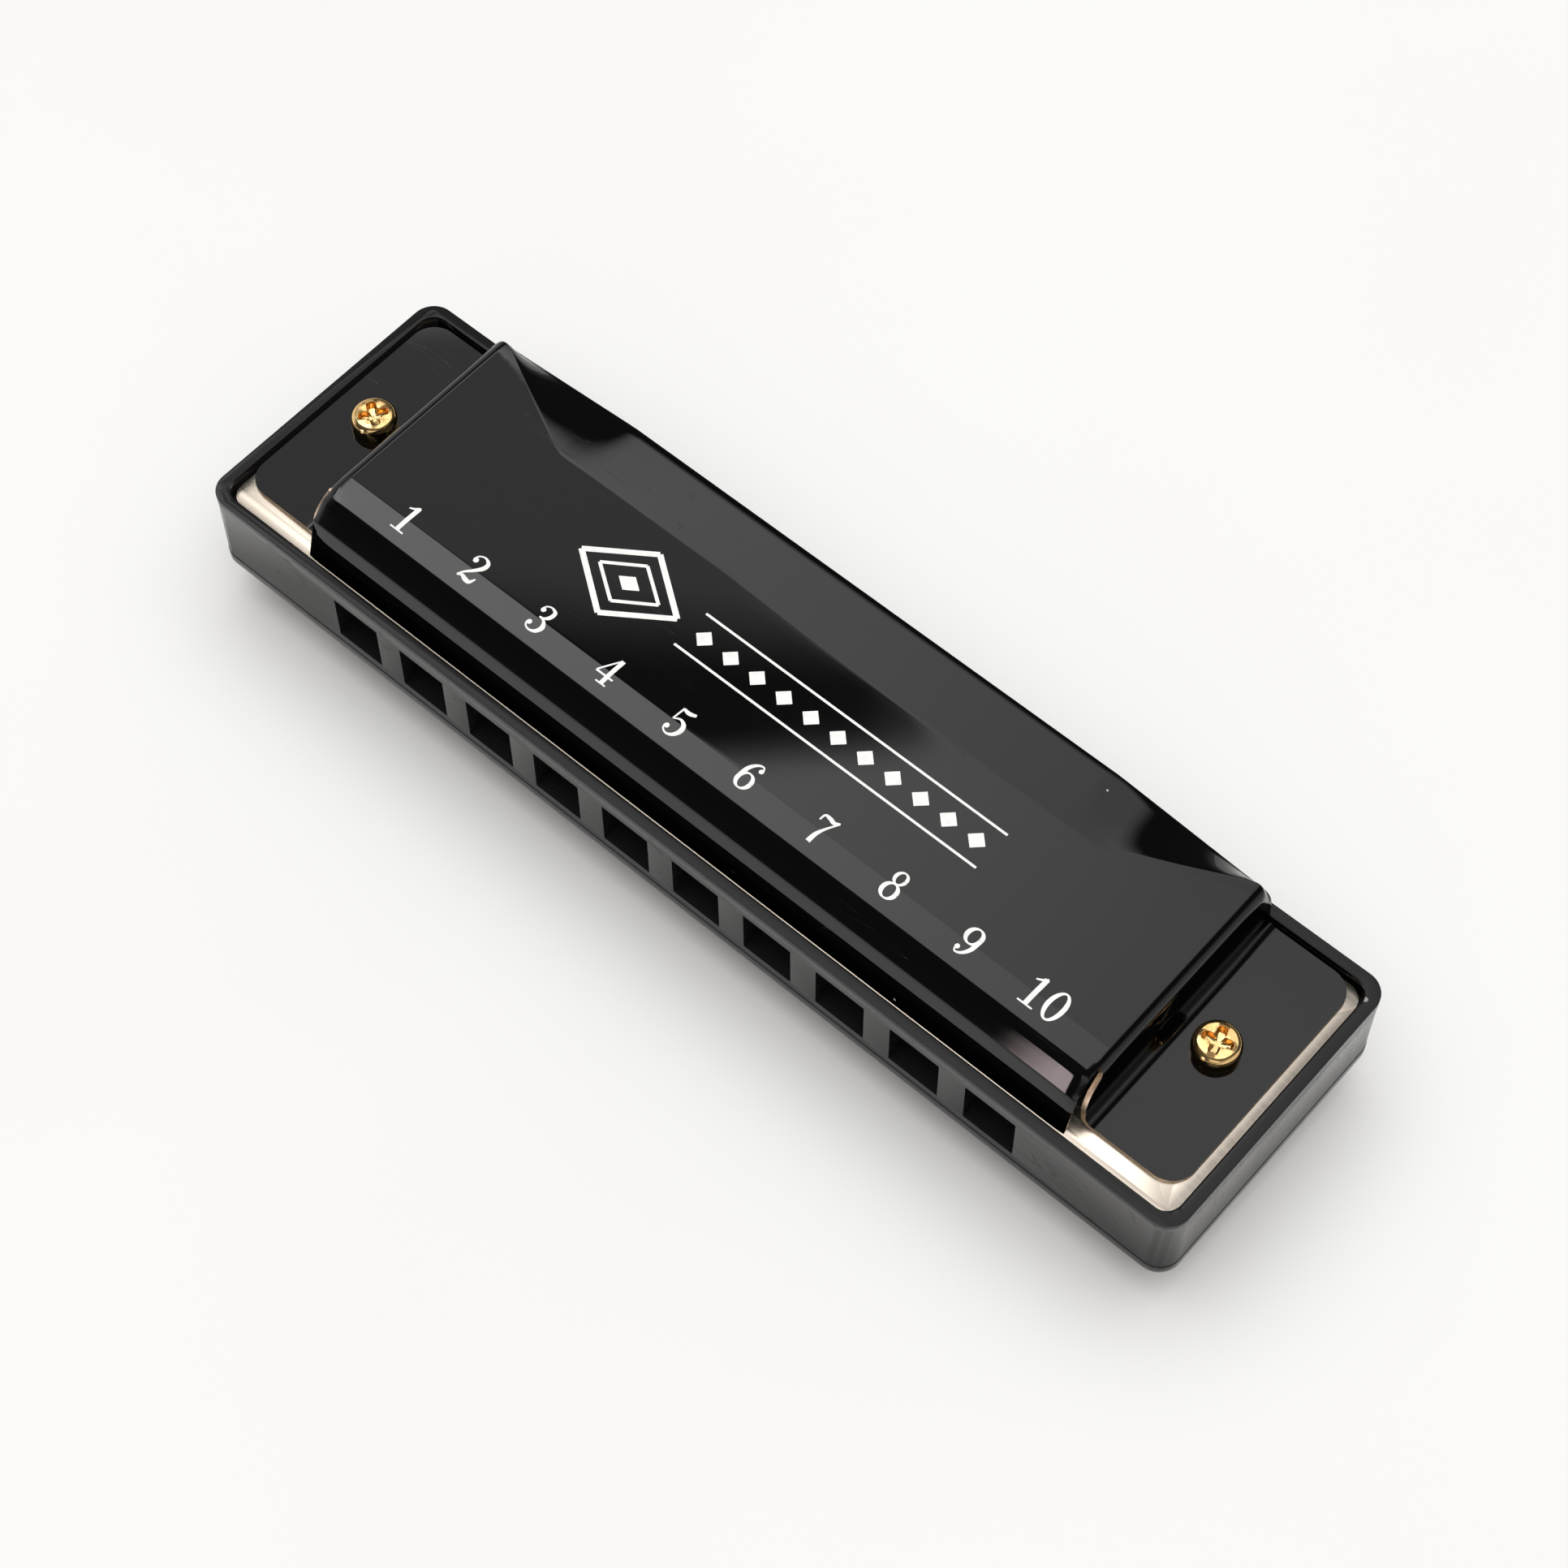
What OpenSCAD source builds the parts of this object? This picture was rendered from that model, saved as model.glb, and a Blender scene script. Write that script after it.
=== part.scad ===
// Ten-hole diatonic mouth organ: a black comb between two reed plates, closed by two
// pressed sheet covers and held together by two through bolts.
// +X runs along the holes from 1 to 10, -Y is the mouth side, +Z is up.
// The origin is the middle of the footprint, on the surface that the instrument lies on.

/* [Comb] */
// Length of the comb, end to end
comb_l = 102; // [100:0.5:108]
// Width of the comb, mouth side to back
comb_w = 27.1; // [26.5:0.1:30]
// Height of the comb over its two rims
comb_h = 8.6; // [8:0.1:10]
// Radius of the comb's four upright corners
comb_corner_r = 2; // [1:0.25:4]
// Thickness of the rim that stands around each reed plate
rim_t = 1; // [0.8:0.1:1.3]
// Height of the lip band along each rim
lip_h = 0.9; // [0.7:0.1:1.7]
// How far the lip band stands out from the wall between the bands
lip_proud = 0.04; // [0.02:0.02:0.5]

/* [Holes] */
// Distance from one hole to the next
hole_pitch = 7.5; // [7.3:0.1:7.6]
// Width of a hole
hole_w = 4.9; // [4.5:0.1:5.2]
// Height of a hole, which is also the gap between the reed plates
hole_h = 5; // [4.8:0.1:5.4]

/* [Reed plates and reeds] */
// Thickness of a reed plate
plate_t = 0.9; // [0.8:0.05:1.1]
// Clearance between a reed plate and the rim around it
plate_clear = 0.3; // [0.1:0.05:0.5]
// Radius of a reed plate's corners
plate_corner_r = 1.5; // [1:0.25:3]
// Swinging length of the reeds of hole 1
reed_long = 15.6; // [14:0.1:16]
// Swinging length of the reeds of hole 10
reed_short = 9; // [8:0.1:10]
// Width of a reed
reed_w = 2; // [1.8:0.1:2.4]
// Thickness of a reed at its root
reed_t = 0.28; // [0.24:0.01:0.35]
// How far a reed's tip stands off its plate at rest
reed_set = 0.2; // [0.1:0.05:0.3]

/* [Covers] */
// Thickness of the cover sheet
sheet_t = 0.45; // [0.4:0.05:0.6]
// Height of a cover over its reed plate
cover_rise = 6; // [5.5:0.1:7]
// Length of a cover over its two end flanges
cover_l = 98.6; // [97:0.2:99]
// Length of a cover's raised part where it meets the flanges
dome_l = 81.6; // [80:0.2:84]
// How far the raised part draws in at each end on its way up
dome_draw = 0.4; // [0.2:0.1:1.2]
// How far the covers sit towards hole 1 from the comb's middle
cover_shift = 0.4; // [0:0.05:0.4]

/* [Bolts] */
// Distance between the two through bolts
bolt_span = 89.4; // [88:0.2:90]
// How far the two bolts sit towards hole 1 from the comb's middle
bolt_shift = 0.8; // [0:0.05:0.9]
// Diameter of a bolt's shank
bolt_d = 2; // [1.8:0.1:2.2]
// Diameter of a bolt's head
head_d = 4; // [3.6:0.1:4.4]
// Height of a bolt's head
head_h = 1.5; // [1.2:0.1:1.8]

/* [Hidden] */
HOLES = 10;
SMOOTH = 48;
FINE = 32;
EPS = 0.01;
CUT = 3; // how far a cutter runs past what it cuts

// Levels over the comb's middle plane
seat_z = hole_h / 2;
plate_z = seat_z + plate_t;
rim_z = comb_h / 2;
flange_z = plate_z + sheet_t;
top_z = plate_z + cover_rise;

// Plan sizes
pocket_l = comb_l - 2 * rim_t;
pocket_w = comb_w - 2 * rim_t;
pocket_r = comb_corner_r - rim_t / 2;
plate_l = pocket_l - 2 * plate_clear;
plate_w = pocket_w - 2 * plate_clear;

// Reeds: a blow reed's tip and a draw reed's root lie near the mouth side
blow_tip_y = -10;
draw_root_y = -8.4;
reed_side = 0.08;
reed_end = 0.25;
root_gap = 0.04;
pad_l = 2.8;
pad_w = 2.8;
pad_t = 0.35;
weight_l = 3;
weight_step = 0.3;
thin_share = 0.8;
chamber_margin = 0.5;

// Each chamber is lower just inside its hole, where a web carries the plate's front edge
mouth_depth = 0.8;
web_t = 0.3;
web_back_y = -10.5;

// Rivets and plate pins
rivet_r = 0.5;
rivet_head_r = 0.85;
rivet_head_h = 0.25;
pin_r = 0.5;
pin_head_r = 0.9;
pin_head_h = 0.3;
pin_depth = 1.8;
pin_end_gap = 0.2;
fit_gap = 0.02;
front_pin_x = [-30, 0, 30];
back_pin_x = [-37.5, -7.5, 37.5];
front_pin_y = -10.6;
back_pin_y = 11.2;

// Covers: the front panel's foot and crease, the knee, the flat top and the back edge.
// Heights are over the reed plate.
foot_y = -12.05;
crease_y = -11.1;
crease_h = 4;
crease_r = 0.6;
knee_y = -9.6;
knee_h = 5.8;
knee_r = 1.6;
flat_y = -6.8;
ridge_y = 6;
back_y = 12.4;
back_h = 5.65;
blend_r = 6;
dome_edge_r = 1;
flange_front_y = -10.4;
flange_back_y = 12.2;
flange_corner_r = 2.2;

// The front panel and the end walls are cut apart below the knee
slit_x = 40;
slit_h = 4.8;

// Bolts and nuts
bolt_y = 0.9;
bolt_gap = 0.15;
nut_across_flats = 4;
nut_h = 1.5;
nut_bore_gap = 0.02;
bolt_tail = 0.3;
cross_w = 0.55;
cross_l = 2.3;
cross_depth = 0.8;
cross_turn = 15;
shoulder_r = 0.6;

BLOW_REEDS = [for (i = [1:HOLES]) str("blow_reed_", i)];
DRAW_REEDS = [for (i = [1:HOLES]) str("draw_reed_", i)];

// ---------- functions ----------

// Middle of hole i, counted from 0
function hole_x(i) = (i - (HOLES - 1) / 2) * hole_pitch;

// Swinging length of the reeds of hole i
function reed_len(i) = reed_long - i * (reed_long - reed_short) / (HOLES - 1);

// Root line of a blow reed, and the back end of the chamber that holds it
function blow_root_y(i) = blow_tip_y + reed_len(i);
function chamber_back_y(i) = blow_root_y(i) + pad_l + chamber_margin;

function unit(v) = v / norm(v);
function left_of(v) = [-v[1], v[0]];

// Corner k of an outline of [x, y, r] points, moved inwards by d where two edges meet
function inset_corner(pts, k, d) =
    let (n = len(pts),
         p = [pts[k][0], pts[k][1]],
         a = [pts[(k + n - 1) % n][0], pts[(k + n - 1) % n][1]],
         b = [pts[(k + 1) % n][0], pts[(k + 1) % n][1]],
         n1 = left_of(unit(p - a)),
         n2 = left_of(unit(b - p)))
    p + d * (n1 + n2) / (1 + n1 * n2);

// Points of the arc that rounds corner k with radius r
function corner_arc(pts, k, r, steps = 8) =
    let (n = len(pts),
         p = pts[k],
         u = unit(pts[(k + n - 1) % n] - p),
         v = unit(pts[(k + 1) % n] - p),
         half = acos(max(-1, min(1, u * v))) / 2,
         mid = p + unit(u + v) * r / sin(half),
         start = p + u * r / tan(half) - mid,
         finish = p + v * r / tan(half) - mid,
         turn = 180 - 2 * half,
         way = (start[0] * finish[1] - start[1] * finish[0]) > 0 ? 1 : -1)
    r < EPS ? [p] : [for (s = [0:steps])
        let (t = way * turn * s / steps)
        mid + [start[0] * cos(t) - start[1] * sin(t), start[0] * sin(t) + start[1] * cos(t)]];

// A closed outline with its corners rounded, drawn d inside the one given.
// The outline runs anticlockwise, so its left side is its inside.
function rounded(pts, d = 0) =
    let (moved = [for (k = [0:len(pts) - 1]) inset_corner(pts, k, d)])
    [for (k = [0:len(pts) - 1])
        each corner_arc(moved, k, pts[k][2] > EPS ? max(pts[k][2] - d, 0.1) : 0)];

// Cover section in [y, height over the plate, radius]. extra carries the front panel
// and the back slope on past the open foot and the open back.
function cover_section(extra = 0) =
    let (lean = (crease_y - foot_y) / crease_h,
         fall = (cover_rise - back_h) / (back_y - ridge_y))
    [[foot_y - extra * lean, -extra, 0],
     [back_y + extra, -extra, 0],
     [back_y + extra, back_h - extra * fall, 0],
     [ridge_y, cover_rise, blend_r],
     [flat_y, cover_rise, blend_r],
     [knee_y, knee_h, knee_r],
     [crease_y, crease_h, crease_r]];

// Cover outline seen from the mouth side, in [x, height over the plate, radius]
function dome_outline(extra = 0) =
    let (foot_x = dome_l / 2 + extra * dome_draw / cover_rise,
         edge_x = dome_l / 2 - dome_draw)
    [[-foot_x, -extra, 0],
     [foot_x, -extra, 0],
     [edge_x, cover_rise, dome_edge_r],
     [-edge_x, cover_rise, dome_edge_r]];

// ---------- helpers ----------

// Lifts a shape drawn around the comb's middle plane to its place over the ground
module lifted() {
    translate([0, 0, top_z]) children();
}

// The same shape on the lower side
module below() {
    mirror([0, 0, 1]) children();
}

module rounded_slab(l, w, h, r) {
    linear_extrude(h) {
        square([l - 2 * r, w], center = true);
        square([l, w - 2 * r], center = true);
        for (sx = [-1, 1], sy = [-1, 1])
            translate([sx * (l / 2 - r), sy * (w / 2 - r)]) circle(r, $fn = SMOOTH);
    }
}

// An outline in Y and Z carried along X, centred
module along_x(pts, l) {
    rotate([90, 0, 90]) linear_extrude(l, center = true) polygon(pts);
}

// An outline in X and Z carried along Y, centred
module along_y(pts, l) {
    rotate([90, 0, 0]) linear_extrude(l, center = true) polygon(pts);
}

module at_bolts() {
    for (s = [-1, 1]) translate([s * bolt_span / 2 - bolt_shift, bolt_y, 0]) children();
}

module at_plate_pins() {
    for (x = front_pin_x) translate([x, front_pin_y, 0]) children();
    for (x = back_pin_x) translate([x, back_pin_y, 0]) children();
}

// Reeds are drawn with their root line on the X axis, the tongue towards +Y and the
// plate above them. These two put them under the upper and the lower plate.
module at_blow(i) {
    translate([hole_x(i), blow_root_y(i), seat_z - reed_t / 2]) mirror([0, 1, 0]) children();
}

module at_draw(i) {
    translate([hole_x(i), draw_root_y, -plate_z - reed_t / 2]) children();
}

// ---------- reeds, in their own frame ----------

// The tongue: a round root on the root line, thinned behind it, heavier at its tip
module reed_tongue(l) {
    h = reed_t / 2;
    thin = thin_share * h;
    rotate([0, 90, 0]) cylinder(h = reed_w, r = h, center = true, $fn = FINE);
    along_x([[0, -h],
             [l * 0.3, -thin - reed_set * 0.2],
             [l - weight_l, -thin - reed_set * 0.7],
             [l - weight_l + weight_step, -h - reed_set * 0.7],
             [l, -h - reed_set],
             [l, h - reed_set],
             [0, h]], reed_w);
}

module reed_pad() {
    difference() {
        translate([-pad_w / 2, -reed_t / 2 - root_gap - pad_l, reed_t / 2 - pad_t])
            cube([pad_w, pad_l, pad_t]);
        at_rivet() cylinder(h = CUT, r = rivet_r + fit_gap, center = true, $fn = FINE);
    }
}

module at_rivet() {
    translate([0, -reed_t / 2 - root_gap - pad_l / 2, reed_t / 2]) children();
}

// A rivet through pad and plate. Its tail stands out of the plate's far side by tail.
module rivet(tail) {
    at_rivet() {
        translate([0, 0, -pad_t - rivet_head_h])
            cylinder(h = rivet_head_h, r = rivet_head_r, $fn = FINE);
        translate([0, 0, -pad_t - EPS])
            cylinder(h = pad_t + plate_t + EPS, r = rivet_r, $fn = FINE);
        if (tail > 0)
            translate([0, 0, plate_t]) cylinder(h = tail, r = rivet_head_r, $fn = FINE);
    }
}

// What a reed needs cut out of its plate: the slot and the rivet hole
module reed_cutout(l) {
    slot_w = reed_w + 2 * reed_side;
    slot_back = reed_t / 2 + root_gap;
    translate([-slot_w / 2, -slot_back, 0]) cube([slot_w, slot_back + l + reed_end, CUT]);
    at_rivet() translate([0, 0, -EPS]) cylinder(h = CUT, r = rivet_r + fit_gap, $fn = FINE);
}

// ---------- comb ----------

module comb_pocket() {
    translate([0, 0, seat_z]) rounded_slab(pocket_l, pocket_w, comb_h, pocket_r);
}

module chamber(i) {
    mouth_y = -comb_w / 2 + mouth_depth;
    difference() {
        translate([hole_x(i) - hole_w / 2, -comb_w / 2 - 1, -seat_z])
            cube([hole_w, chamber_back_y(i) + comb_w / 2 + 1, hole_h]);
        for (s = [-1, 1])
            translate([hole_x(i), (mouth_y + web_back_y) / 2, s * (seat_z - web_t / 2)])
                cube([2 * hole_w, web_back_y - mouth_y, web_t], center = true);
    }
}

module comb() {
    lifted() color("#17171a") difference() {
        union() {
            translate([0, 0, -rim_z]) rounded_slab(comb_l - 2 * lip_proud,
                comb_w - 2 * lip_proud, comb_h, comb_corner_r - lip_proud);
            translate([0, 0, rim_z - lip_h]) rounded_slab(comb_l, comb_w, lip_h, comb_corner_r);
            translate([0, 0, -rim_z]) rounded_slab(comb_l, comb_w, lip_h, comb_corner_r);
        }
        comb_pocket();
        below() comb_pocket();
        for (i = [0:HOLES - 1]) chamber(i);
        at_bolts() cylinder(h = comb_h, r = bolt_d / 2 + bolt_gap, center = true, $fn = SMOOTH);
        for (s = [-1, 1]) at_plate_pins() translate([0, 0, s * (seat_z - pin_depth / 2)])
            cylinder(h = pin_depth + 2 * pin_end_gap, r = pin_r + fit_gap, center = true,
                $fn = FINE);
    }
}

// ---------- reed plates ----------

module plate_blank() {
    difference() {
        translate([0, 0, seat_z]) rounded_slab(plate_l, plate_w, plate_t, plate_corner_r);
        at_bolts() cylinder(h = comb_h, r = bolt_d / 2 + bolt_gap, $fn = SMOOTH);
        at_plate_pins() cylinder(h = comb_h, r = pin_r + fit_gap, $fn = FINE);
    }
}

module upper_reed_plate() {
    lifted() color("#d8b98a") difference() {
        plate_blank();
        for (i = [0:HOLES - 1]) at_blow(i) reed_cutout(reed_len(i));
    }
}

module lower_reed_plate() {
    lifted() color("#d8b98a") difference() {
        below() plate_blank();
        for (i = [0:HOLES - 1]) at_draw(i) reed_cutout(reed_len(i));
    }
}

module blow_reed(i) {
    lifted() color("#caa24f") at_blow(i) reed_tongue(reed_len(i));
}

module draw_reed(i) {
    lifted() color("#caa24f") at_draw(i) reed_tongue(reed_len(i));
}

module blow_reed_pads() {
    lifted() color("#caa24f") for (i = [0:HOLES - 1]) at_blow(i) reed_pad();
}

module draw_reed_pads() {
    lifted() color("#caa24f") for (i = [0:HOLES - 1]) at_draw(i) reed_pad();
}

module blow_reed_rivets() {
    lifted() color("#b8903f") for (i = [0:HOLES - 1]) at_blow(i) rivet(rivet_head_h);
}

// The tails of the draw rivets are filed flush, because they face the chambers
module draw_reed_rivets() {
    lifted() color("#b8903f") for (i = [0:HOLES - 1]) at_draw(i) rivet(0);
}

// ---------- plate pins ----------

module plate_pin() {
    translate([0, 0, plate_z]) cylinder(h = pin_head_h, r = pin_head_r, $fn = FINE);
    translate([0, 0, seat_z - pin_depth])
        cylinder(h = pin_depth + plate_t + EPS, r = pin_r, $fn = FINE);
}

module upper_plate_pins() {
    lifted() color("#b8903f") at_plate_pins() plate_pin();
}

module lower_plate_pins() {
    lifted() color("#b8903f") below() at_plate_pins() plate_pin();
}

// ---------- covers ----------

// The solid under the sheet, d inside its outer face. With extra it runs on past the
// open foot and the open back.
module dome(d = 0, extra = 0) {
    translate([0, 0, plate_z]) intersection() {
        along_x(rounded(cover_section(extra), d), comb_l);
        along_y(rounded(dome_outline(extra), d), 2 * comb_w);
    }
}

module cover_flange() {
    mid_y = (flange_front_y + flange_back_y) / 2;
    translate([0, mid_y, plate_z])
        rounded_slab(cover_l, flange_back_y - flange_front_y, sheet_t, flange_corner_r);
}

// The open corner between the front panel and an end wall
module corner_slit() {
    translate([slit_x, flange_front_y - CUT, plate_z - CUT]) cube([CUT, CUT, slit_h + CUT]);
}

module cover() {
    difference() {
        translate([-cover_shift, 0, 0]) difference() {
            union() {
                dome();
                cover_flange();
            }
            dome(sheet_t, 2);
            corner_slit();
            mirror([1, 0, 0]) corner_slit();
        }
        at_bolts() cylinder(h = comb_h, r = bolt_d / 2 + bolt_gap, $fn = SMOOTH);
    }
}

module upper_cover() {
    lifted() color("#1b1c1e") cover();
}

module lower_cover() {
    lifted() color("#1b1c1e") below() cover();
}

// ---------- bolts and nuts ----------

// A pan head: flat underneath, with a rounded shoulder and a cross recess
module bolt_head() {
    difference() {
        rotate_extrude($fn = SMOOTH) polygon(concat(
            [[0, 0], [head_d / 2, 0]],
            [for (a = [0:15:90]) [head_d / 2 - shoulder_r * (1 - cos(a)),
                                  head_h - shoulder_r * (1 - sin(a))]],
            [[0, head_h]]));
        for (a = [0, 90]) rotate([0, 0, a + cross_turn])
            translate([0, 0, head_h]) cube([cross_l, cross_w, 2 * cross_depth], center = true);
    }
}

module bolt() {
    translate([0, 0, flange_z]) bolt_head();
    translate([0, 0, -flange_z - nut_h - bolt_tail])
        cylinder(h = 2 * flange_z + nut_h + bolt_tail + EPS, r = bolt_d / 2, $fn = SMOOTH);
}

module nut() {
    translate([0, 0, -flange_z - nut_h]) difference() {
        cylinder(h = nut_h, d = nut_across_flats / cos(30), $fn = 6);
        translate([0, 0, -1])
            cylinder(h = nut_h + 2, r = bolt_d / 2 + nut_bore_gap, $fn = SMOOTH);
    }
}

module cover_bolts() {
    lifted() color("#d9b25f") at_bolts() bolt();
}

module cover_nuts() {
    lifted() color("#d9b25f") at_bolts() nut();
}

comb();
upper_reed_plate();
lower_reed_plate();
blow_reed_pads();
draw_reed_pads();
blow_reed_rivets();
draw_reed_rivets();
upper_plate_pins();
lower_plate_pins();
upper_cover();
lower_cover();
cover_bolts();
cover_nuts();
for (i = [0:HOLES - 1]) blow_reed(i);
for (i = [0:HOLES - 1]) draw_reed(i);
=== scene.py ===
# %% [markdown]
# # A ten-hole harmonica
# A black plastic comb with ten holes carries two thin brass reed plates. Twenty reeds swing in their slots,
# two gloss black covers are pressed from sheet, and two gold bolts hold the pile together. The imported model
# gives every piece its place, so this lesson only makes surfaces and finishes for them.

# %% Load the frame
import math

import bmesh
import bpy
import numpy as np
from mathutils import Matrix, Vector


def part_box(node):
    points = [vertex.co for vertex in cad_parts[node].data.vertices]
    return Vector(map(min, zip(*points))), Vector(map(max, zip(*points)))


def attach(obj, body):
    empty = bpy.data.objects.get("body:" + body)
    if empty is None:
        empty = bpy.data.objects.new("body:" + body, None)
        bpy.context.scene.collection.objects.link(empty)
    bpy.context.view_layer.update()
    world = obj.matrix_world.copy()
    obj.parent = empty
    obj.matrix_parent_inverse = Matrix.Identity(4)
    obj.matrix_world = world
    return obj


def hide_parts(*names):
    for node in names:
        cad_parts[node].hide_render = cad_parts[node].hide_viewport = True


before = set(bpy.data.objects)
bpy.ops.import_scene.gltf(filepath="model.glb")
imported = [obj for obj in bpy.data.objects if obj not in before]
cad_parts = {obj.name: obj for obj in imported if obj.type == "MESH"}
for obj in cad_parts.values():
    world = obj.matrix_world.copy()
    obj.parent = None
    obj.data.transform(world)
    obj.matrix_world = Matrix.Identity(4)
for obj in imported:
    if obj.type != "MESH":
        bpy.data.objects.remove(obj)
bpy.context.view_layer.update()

# %% [markdown]
# ## Measures
# The pile is the same above and below the comb's middle plane, so every shape here is drawn in millimetres
# about that plane and turned into metres at the end. The middle plane, the plates' outer faces and the
# bolts' axes are read from the frame. Only the small shapes that it leaves plain have their own numbers.

# %% Measures from the frame
MM = 0.001


def box_mm(node):
    """A node's lowest and highest corner in millimetres, as two arrays."""
    low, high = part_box(node)
    return np.array(low) / MM, np.array(high) / MM


comb_low, comb_high = box_mm("comb")
MIDDLE = (comb_low[2] + comb_high[2]) / 2
PLATE_Z = box_mm("upper_reed_plate")[1][2] - MIDDLE
cover_low, cover_high = box_mm("upper_cover")
COVER_X = (cover_low[0] + cover_high[0]) / 2
COVER_HALF = (cover_high[0] - cover_low[0]) / 2
RISE = cover_high[2] - MIDDLE - PLATE_Z
SHEET = 0.45
HOLES = 10
print("middle plane at", round(MIDDLE, 3), "mm, cover rises", round(RISE, 3), "mm over its plate")

# %% [markdown]
# ## Surfaces from arrays
# Every new shape here is a grid of points, worked out for the whole grid at once. One helper joins the grid
# into quads. It can close the grid along its rows or its columns, for a tube or a ring, and it can leave
# quads out, which is how a slit is cut. Corners in a section are rounded with true arcs before it is used.

# %% Grid helpers
def new_object(name, mesh):
    """Puts a mesh into the scene as an object at the origin."""
    made = bpy.data.objects.new(name, mesh)
    bpy.context.scene.collection.objects.link(made)
    return made


def to_mesh(name, points, faces, smooth=True):
    """Points in mm about the middle plane become vertices: z gains MIDDLE, then all turn into metres."""
    mesh = bpy.data.meshes.new(name)
    lifted = (np.asarray(points, float).reshape(-1, 3) + (0, 0, MIDDLE)) * MM
    mesh.from_pydata(lifted.tolist(), [], faces)
    mesh.polygons.foreach_set("use_smooth", np.full(len(mesh.polygons), smooth))
    mesh.update()
    return mesh


def grid_faces(rows, columns, close_rows=False, close_columns=False, keep=None, flip=False, start=0):
    """Quad (i, j) joins grid points (i, j), (i, j+1), (i+1, j+1) and (i+1, j)."""
    index = np.arange(rows * columns).reshape(rows, columns) + start
    if close_rows:
        index = np.concatenate([index, index[:1]])
    if close_columns:
        index = np.concatenate([index, index[:, :1]], axis=1)
    quads = np.stack([index[:-1, :-1], index[:-1, 1:], index[1:, 1:], index[1:, :-1]], axis=-1)
    quads = quads.reshape(-1, 4) if keep is None else quads[keep]
    if flip:
        quads = quads[:, ::-1]
    return quads.tolist()


def merge_close(mesh, distance=1e-7):
    """Joins points that lie on each other, as at a pole, and turns all faces outwards."""
    work = bmesh.new()
    work.from_mesh(mesh)
    bmesh.ops.remove_doubles(work, verts=work.verts, dist=distance)
    bmesh.ops.recalc_face_normals(work, faces=work.faces)
    work.to_mesh(mesh)
    work.free()
    return mesh


def rounded_path(corners, arc_steps=6, longest=2.0):
    """A path through (a, b, radius) corners. An arc of the corner's radius replaces each inner corner,
    and straight runs are divided so that no step is longer than `longest`."""
    spots = np.array([c[:2] for c in corners], float)
    path = [spots[:1]]
    for before, here, after, radius in zip(spots, spots[1:], spots[2:], [c[2] for c in corners[1:-1]]):
        into = (here - before) / np.linalg.norm(here - before)
        out = (after - here) / np.linalg.norm(after - here)
        turn = math.acos(np.clip(into @ out, -1, 1))
        side = np.sign(into[0] * out[1] - into[1] * out[0])
        begin = here - into * radius * math.tan(turn / 2)
        across = np.array([-into[1], into[0]]) * side
        swing = np.linspace(0, turn, arc_steps + 1)[:, None]
        path.append(begin + radius * (into * np.sin(swing) + across * (1 - np.cos(swing))))
    path.append(spots[-1:])
    path = np.concatenate(path)
    gaps = np.linalg.norm(np.diff(path, axis=0), axis=1)
    path = path[np.append(gaps > 1e-4, True)]
    gaps = gaps[gaps > 1e-4]
    pieces = [np.linspace(a, b, max(1, math.ceil(g / longest)), endpoint=False)
              for a, b, g in zip(path[:-1], path[1:], gaps)]
    return np.concatenate(pieces + [path[-1:]])


def ease(low, high, value):
    """0 below low, 1 above high, and 3t^2 - 2t^3 between."""
    t = np.clip((np.asarray(value, float) - low) / (high - low), 0, 1)
    return t * t * (3 - 2 * t)


print("helpers ready")

# %% [markdown]
# ## Shader helpers
# A finish is a small tree of nodes. These helpers add one node and wire its inputs in the same line, so that
# a material can be read from top to bottom. Effects that several finishes share are node groups: scratches,
# dust, a slow mottle, worn edges with a painted sheen and brushed lines. Each gives out a mask or a height
# and never a shader, because the shader stays in its own material.

# %% Node helpers
def wire(tree, socket, value):
    """Links value into socket if it is a socket, and sets it if it is a number or colour."""
    if isinstance(value, bpy.types.NodeSocket):
        tree.links.new(value, socket)
    else:
        socket.default_value = value


def add(tree, kind, inputs=(), **settings):
    """Adds one node. Inputs are given by name or number, settings are the node's own properties."""
    made = tree.nodes.new(kind)
    for name, value in settings.items():
        setattr(made, name, value)
    for name, value in dict(inputs).items():
        wire(tree, made.inputs[name], value)
    return made


def calc(tree, operation, *values, clamp=False):
    """One Math node. Returns its output."""
    made = add(tree, "ShaderNodeMath", dict(enumerate(values)), operation=operation, use_clamp=clamp)
    return made.outputs[0]


def fade(tree, value, low, high):
    """A Map Range node with smooth ends: 0 at low and 1 at high."""
    made = add(tree, "ShaderNodeMapRange", {"Value": value, "From Min": low, "From Max": high},
               interpolation_type="SMOOTHSTEP")
    return made.outputs["Result"]


def stretched(tree, turn, scale):
    """Object coordinates, turned about Z by `turn` degrees and stretched by scale."""
    spot = add(tree, "ShaderNodeTexCoord")
    mapping = add(tree, "ShaderNodeMapping", {"Vector": spot.outputs["Object"], "Scale": scale,
                                              "Rotation": (0, 0, math.radians(turn))})
    return mapping.outputs["Vector"]


def new_group(name, inputs, outputs):
    """An empty shader group with float sockets. Inputs carry their usual value."""
    tree = bpy.data.node_groups.new(name, "ShaderNodeTree")
    for label, value in inputs.items():
        socket = tree.interface.new_socket(name=label, in_out="INPUT", socket_type="NodeSocketFloat")
        socket.default_value = value
    for label in outputs:
        tree.interface.new_socket(name=label, in_out="OUTPUT", socket_type="NodeSocketFloat")
    return tree, add(tree, "NodeGroupInput").outputs, add(tree, "NodeGroupOutput").inputs


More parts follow.
